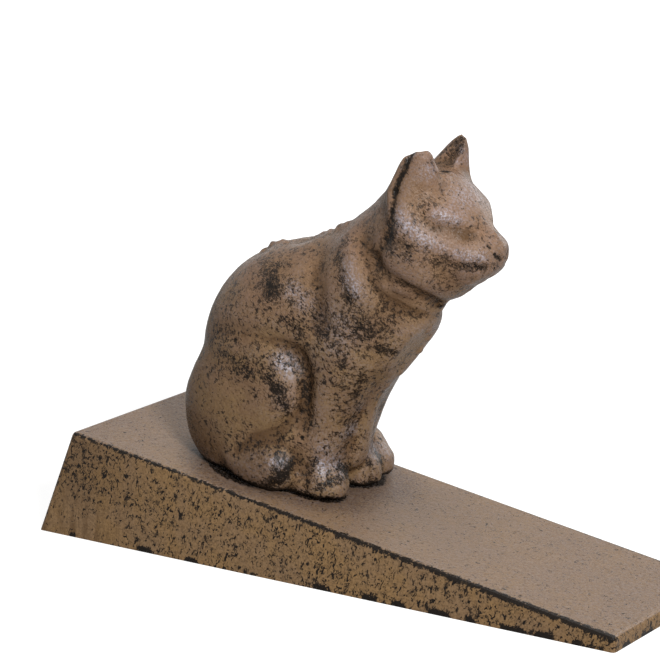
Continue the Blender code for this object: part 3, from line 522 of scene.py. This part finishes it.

# Brown stains and painted shade in the low places, and whitish rubbed paint and painted highlights on the
# high ones, on both sides: place, reach and share
cat_stains_and_shade = (
    (-10.9, 14.5, 3.6, 7.0, 0.5), (-14.6, 13.0, 9.0, 7.0, 0.3), (-16.5, 12.4, 17.7, 6.0, 0.25),
    (-18.0, 8.0, 26.0, 7.0, 0.15), (2.0, 17.4, 2.0, 4.0, 0.25), (12.3, 11.2, 20.8, 2.2, 0.45),
    (12.4, 11.4, 26.0, 2.0, 0.35), (15.8, 12.1, 17.0, 2.5, 0.25), (16.7, 10.7, 10.4, 1.8, 0.2),
    (25.7, 11.9, 66.1, 2.5, 0.35), (22.5, 10.9, 61.6, 2.2, 0.35), (29.0, 9.0, 51.6, 2.0, 0.3),
    (34.3, 2.5, 48.0, 2.5, 0.3), (9.2, 6.3, 57.1, 4.0, 0.15), (20.9, 10.3, 24.5, 3.0, 0.2),
    (41.4, 6.2, 66.8, 1.7, 0.45), (39.4, 8.0, 67.8, 1.6, 0.4), (37.8, 9.2, 68.2, 1.2, 0.25),
    (4.5, 17.0, 8.0, 4.5, 0.6), (10.0, 16.4, 4.6, 3.0, 0.5), (15.0, 12.6, 6.0, 2.0, 0.2),
    (30.6, 10.4, 77.4, 4.5, 0.3), (46.8, 2.6, 64.6, 2.2, 0.2), (45.6, 5.6, 61.6, 2.2, 0.2),
    (33.5, 12.4, 60.5, 3.5, 0.15), (20.0, 9.4, 22.0, 4.0, 0.12), (27.0, 9.0, 44.0, 4.0, 0.2),
    (26.7, 11.4, 77.6, 1.2, 0.4), (26.3, 12.0, 74.6, 1.2, 0.35), (-2.1, 15.5, 32.6, 2.5, 0.2),
    (3.2, 16.0, 11.6, 1.6, 0.25), (0.0, 17.0, 16.0, 4.0, 0.1), (21.6, 3.8, 24.0, 1.6, 0.3),
)
# Whitish rubbed paint and painted highlights
cat_rubs_and_highlights = (
    (6.9, 14.2, 29.5, 2.2, 0.34), (8.5, 13.6, 28.2, 1.8, 0.28), (5.2, 14.6, 30.0, 1.8, 0.25),
    (9.6, 16.0, 7.6, 1.2, 0.55), (10.6, 15.0, 8.2, 1.0, 0.45), (8.3, 16.6, 7.4, 1.0, 0.3),
    (17.3, 10.3, 7.4, 1.2, 0.6), (16.7, 10.8, 8.9, 1.0, 0.4), (18.0, 10.2, 6.2, 0.9, 0.4),
    (20.1, 13.6, 51.8, 2.2, 0.32), (21.9, 13.6, 50.3, 1.6, 0.24), (18.4, 13.2, 54.6, 1.8, 0.24),
    (29.6, 13.2, 69.2, 1.8, 0.32), (31.8, 13.1, 67.8, 1.8, 0.36), (34.1, 12.6, 66.6, 1.8, 0.34),
    (36.6, 11.6, 65.4, 1.6, 0.36), (39.0, 9.9, 64.4, 1.3, 0.28), (42.0, 8.4, 63.6, 1.2, 0.3),
    (44.4, 7.1, 63.1, 1.2, 0.42), (46.2, 5.4, 63.5, 1.1, 0.4), (38.1, 8.8, 70.9, 1.5, 0.34),
    (40.0, 7.2, 70.2, 1.2, 0.3), (36.4, 9.8, 70.8, 1.4, 0.2), (38.6, 3.0, 75.0, 4.0, 0.26),
    (19.6, 6.6, 7.0, 1.6, 0.22), (18.6, 9.0, 8.4, 1.4, 0.2), (28.7, 9.0, 82.3, 0.8, 0.28),
    (33.0, 8.2, 79.4, 1.8, 0.2), (31.0, 6.6, 81.2, 0.7, 0.32), (31.2, 5.2, 78.8, 0.6, 0.32),
    (18.5, 13.4, 41.0, 5.5, 0.16), (20.6, 5.0, 22.0, 1.6, 0.3), (20.6, 5.2, 16.0, 1.8, 0.4),
    (20.6, 8.0, 9.0, 2.6, 0.35), (18.0, 14.0, 7.0, 2.4, 0.35), (21.0, 7.6, 14.0, 2.0, 0.2),
    (17.6, 10.8, 12.0, 2.0, 0.25), (5.6, 13.2, 46.0, 2.0, 0.3), (9.0, 12.8, 44.0, 2.4, 0.2),
    (33.0, 2.4, 42.0, 2.5, 0.1),
)
pinholes = (
    (1.8, -16.6, 20.9), (-5.9, -15.6, 31.5), (11.2, -11.7, 19.2), (12.6, -12.4, 13.5),
    (11.1, -12.0, 47.7), (3.0, 15.0, 24.0), (-9.0, 14.0, 38.0), (14.0, 12.6, 44.0),
)


def beside_line(points, line, width):
    """1 on the line, fading to nothing over about twice the width."""
    nearest = np.full(len(points), np.inf)
    for start, end in zip(line, line[1:]):
        start, run = np.array(start), np.subtract(end, start)
        share = np.clip((points - start) @ run / (run @ run), 0, 1)
        nearest = np.minimum(nearest, np.linalg.norm(points - start - share[:, None] * run, axis=1))
    return np.exp(-((nearest / width) ** 2))


def beside_place(points, place, reach):
    """1 at the place, fading to nothing over about twice the reach."""
    return np.exp(-((np.linalg.norm(points - place, axis=1) / reach) ** 2))


def vertex_array(mesh, what):
    """A row of three numbers for each vertex, such as its place or its normal."""
    flat = np.empty(len(mesh.vertices) * 3)
    mesh.vertices.foreach_get(what, flat)
    return flat.reshape(-1, 3)


def lumps(points, size, seed):
    """Noise between about -1 and 1 at each point, whose lumps are this many millimetres apart."""
    shift = Vector((seed * 17.3, seed * 9.1, seed * 5.7))
    return np.array([noise.noise(Vector(point) / size + shift) for point in points])


def relief(mesh, points, normals, rounds):
    """How far each point stands out of the mesh smoothed this many times. It is negative in a hollow."""
    ends = np.empty(len(mesh.edges) * 2, dtype=np.int32)
    mesh.edges.foreach_get("vertices", ends)
    first, second = ends.reshape(-1, 2).T
    count = np.bincount(ends, minlength=len(points))
    smooth = points.copy()
    for _ in range(rounds):
        total = np.zeros_like(smooth)
        for axis in range(3):
            total[:, axis] = np.bincount(first, smooth[second, axis], len(points))
            total[:, axis] += np.bincount(second, smooth[first, axis], len(points))
        smooth = total / count[:, None]
    return ((points - smooth) * normals).sum(axis=1)


def cast_skin():
    """The CAD cat as a fine, even mesh, with its seat at the origin."""
    bm = bmesh.new()
    bm.from_mesh(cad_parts["cat"].data)
    bmesh.ops.remove_doubles(bm, verts=bm.verts, dist=0.001 * MM)
    bmesh.ops.transform(bm, matrix=seat.inverted(), verts=bm.verts)
    mesh = bpy.data.meshes.new("cast_cat")
    bm.to_mesh(mesh)
    bm.free()
    cat = bpy.data.objects.new("cast_cat", mesh)
    bpy.context.scene.collection.objects.link(cat)
    fine = cat.modifiers.new("fine", "REMESH")
    fine.mode = "VOXEL"
    fine.voxel_size = skin_voxel
    graph = bpy.context.evaluated_depsgraph_get()
    mesh = bpy.data.meshes.new_from_object(cat.evaluated_get(graph))
    cat.modifiers.clear()
    cat.data = mesh
    bm = bmesh.new()
    bm.from_mesh(mesh)
    for _ in range(skin_smoothing):
        bmesh.ops.smooth_vert(
            bm, verts=bm.verts, factor=0.5, use_axis_x=True, use_axis_y=True, use_axis_z=True
        )
    bm.to_mesh(mesh)
    bm.free()
    return cat


def carve(cat):
    """Works the lines, flash and lumps into the skin, and notes where black, brown and whitish paint go, with
    painted shadow, shade and highlights among them.
    """
    mesh = cat.data
    points = vertex_array(mesh, "co") / MM
    normals = vertex_array(mesh, "normal")
    mirrored = points * (1, 0, 1) + np.abs(points) * (0, 1, 0)
    height = np.zeros(len(points))
    black_and_shadow = np.zeros(len(points))
    for sides, lines in ((mirrored, cat_lines), (points, (crown_slot,))):
        for width, depth, black, line in lines:
            near = beside_line(sides, line, width)
            height -= depth * near
            black_and_shadow += black * near
    flash_width = 0.5
    ragged = np.clip(0.6 + 1.3 * lumps(points, 1.6, 3), 0, 1.6)
    for stand, line in cat_flash:
        height += stand * ragged * beside_line(points, line, flash_width)
    for *place, reach, stand in cat_lumps:
        height += stand * beside_place(points, place, reach)

    # The far side has the same patches, weaker and a little lower down and farther back
    far_share = 0.8
    far_side = points * (1, -1, 1) + (3, 0, 2)
    for *place, reach, black in cat_patches:
        black_and_shadow += black * beside_place(points, place, reach)
        black_and_shadow += far_share * black * beside_place(far_side, place, reach)
    # Black in the joint all round the feet, partly enamel left there and partly painted contact shadow
    joint_black_and_shadow, joint_height = 0.5, 1.1
    black_and_shadow += joint_black_and_shadow * np.exp(-((points[:, 2] / joint_height) ** 2))
    # Brown stains, partly painted shade, and whitish rubbed paint, partly painted highlights
    stain = sum(amount * beside_place(mirrored, place, reach) for *place, reach, amount in cat_stains_and_shade)
    rub_and_highlight = sum(amount * beside_place(mirrored, place, reach) for *place, reach, amount in cat_rubs_and_highlights)
    hole_depth, hole_reach, hole_black, hole_black_reach = 0.4, 0.35, 0.5, 0.28
    for place in pinholes:
        height -= hole_depth * beside_place(points, place, hole_reach)
        black_and_shadow += hole_black * beside_place(points, place, hole_black_reach)

    # The casting's own unevenness, stronger at the paws
    at_paws = np.clip(1.1 - points[:, 2] / 10, 0, 1) * np.clip(points[:, 0] / 6, 0, 1)
    swells = 0.16 * lumps(points, 5.5, seed=1)
    pimples = 0.06 * lumps(points, 1.7, seed=2)
    knuckles = 0.3 * at_paws * lumps(points, 2.3, seed=4)
    height += swells + pimples + knuckles
    points += normals * height[:, None]
    mesh.vertices.foreach_set("co", (points * MM).reshape(-1))
    mesh.update()
    shape = relief(mesh, points, vertex_array(mesh, "normal"), rounds=70)
    for name, values in (("black_and_shadow", black_and_shadow), ("stain", stain), ("rub_and_highlight", rub_and_highlight), ("relief", shape)):
        mesh.attributes.new(name, "FLOAT", "POINT").data.foreach_set("value", values)


def seat_cat(cat):
    """Cuts the skin flat over the ramp, adds the locating peg and moves it to its place."""
    bm = bmesh.new()
    bm.from_mesh(cat.data)
    cut_above = 0.15 * MM
    cut = bmesh.ops.bisect_plane(
        bm, geom=bm.verts[:] + bm.edges[:] + bm.faces[:], plane_co=(0, 0, seat_gap + cut_above),
        plane_no=(0, 0, -1), clear_outer=True,
    )["geom_cut"]
    rim = [item for item in cut if isinstance(item, bmesh.types.BMEdge)]
    for vert in {vert for edge in rim for vert in edge.verts}:
        vert.co.z = seat_gap
    bmesh.ops.triangle_fill(bm, use_beauty=True, use_dissolve=False, edges=rim, normal=(0, 0, -1))
    bmesh.ops.create_cone(
        bm, cap_ends=True, segments=40, radius1=peg_radius, radius2=peg_radius, depth=peg_length,
        matrix=Matrix.Translation((peg_along, 0, peg_middle)),
    )
    bmesh.ops.transform(bm, matrix=seat, verts=bm.verts)
    bm.to_mesh(cat.data)
    bm.free()
    cat.data.shade_smooth()


def cat_paint():
    """The paint, with the black, brown and whitish places that carve() noted, painted shadow, shade and
    highlights among them.
    """
    material = bpy.data.materials.new("cat_paint")
    material.use_nodes = True
    tree = material.node_tree
    place = add_node(tree, "ShaderNodeTexCoord").outputs["Object"]
    black_and_shadow, stain, rub_and_highlight, shape = (
        add_node(tree, "ShaderNodeAttribute", attribute_name=name).outputs["Fac"]
        for name in ("black_and_shadow", "stain", "rub_and_highlight", "relief")
    )
    # Brown grime and painted shade in the hollows; whitish paint and painted highlights on the crests and at
    # the listed places
    hollow = rise(tree, maths(tree, "MULTIPLY", shape, -1), -0.02, 0.22)
    crest = rise(tree, shape, 0.08, 0.4)
    patchy = maths(tree, "MULTIPLY", maths(tree, "SUBTRACT", grain(tree, place, 5 * MM, 3), 0.5), 0.18)
    cover = maths(tree, "ADD", maths(tree, "ADD", black_and_shadow, patchy), -0.092)
    cover = maths(tree, "SUBTRACT", cover, maths(tree, "MULTIPLY", crest, 0.03))
    dirt_and_shade = maths(tree, "ADD", maths(tree, "MULTIPLY", hollow, 0.65), stain)
    pale_and_highlight = maths(tree, "ADD", maths(tree, "MULTIPLY", crest, 0.1), maths(tree, "MULTIPLY", rub_and_highlight, 1.3))
    pale_and_highlight = maths(tree, "ADD", pale_and_highlight, 0.02)

    # Towards the head the tan is greyer and its threads are fainter
    up = add_node(tree, "ShaderNodeSeparateXYZ", {0: place}).outputs["Z"]
    upper = maths(tree, "MULTIPLY", 0.5, rise(tree, up, 42 * MM, 80 * MM))
    ink = maths(tree, "SUBTRACT", 0.96, maths(tree, "MULTIPLY", upper, 0.5))
    flecked_paint(
        tree, place, marks=squeezed(tree, place, math.radians(-48), 2.6), size=0.6 * MM,
        tans=(warm_tan, golden_tan), cover=cover, dirt_and_shade=dirt_and_shade, pale_and_highlight=pale_and_highlight, greyed=upper, dabs=-0.015, ink=ink,
    )
    return material


cat = cast_skin()
carve(cat)
seat_cat(cat)
cat.data.materials.clear()
cat.data.materials.append(cat_paint())
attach(cat, "root")
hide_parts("cat")


# Fixing screw and washers
# A pan head machine screw with a plain and a spring washer under its head holds the cat from below. All are
# steel with a thin bright zinc plating, dulled a little in the plating bath.
def plated_steel(name, colour, roughness):
    """Plating that clouds between its own colour and a darker, duller one."""
    material = bpy.data.materials.new(name)
    material.use_nodes = True
    tree = material.node_tree
    place = add_node(tree, "ShaderNodeTexCoord").outputs["Object"]
    shader = tree.nodes["Principled BSDF"]
    shader.inputs["Metallic"].default_value = 1.0
    cloud = rise(tree, grain(tree, place, 1.2 * MM, 4, 0.6), 0.3, 0.7)
    darker = tuple(0.6 * channel for channel in colour)
    tree.links.new(blend(tree, cloud, (*darker, 1), (*colour, 1)), shader.inputs["Base Color"])
    dull = maths(tree, "ADD", maths(tree, "MULTIPLY", cloud, -0.15), roughness)
    tree.links.new(dull, shader.inputs["Roughness"])
    frosting = grain(tree, place, 0.3 * MM, 3)
    bump = add_node(tree, "ShaderNodeBump", {"Height": frosting, "Distance": 0.03 * MM})
    tree.links.new(bump.outputs["Normal"], shader.inputs["Normal"])
    return material


zinc = plated_steel("zinc_plate", (0.58, 0.58, 0.55), 0.45)
spring_zinc = plated_steel("spring_plate", (0.42, 0.41, 0.38), 0.5)
for name, finish in (("fixing_screw", zinc), ("plain_washer", zinc), ("spring_washer", spring_zinc)):
    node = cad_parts[name]
    node.data.materials.clear()
    node.data.materials.append(finish)
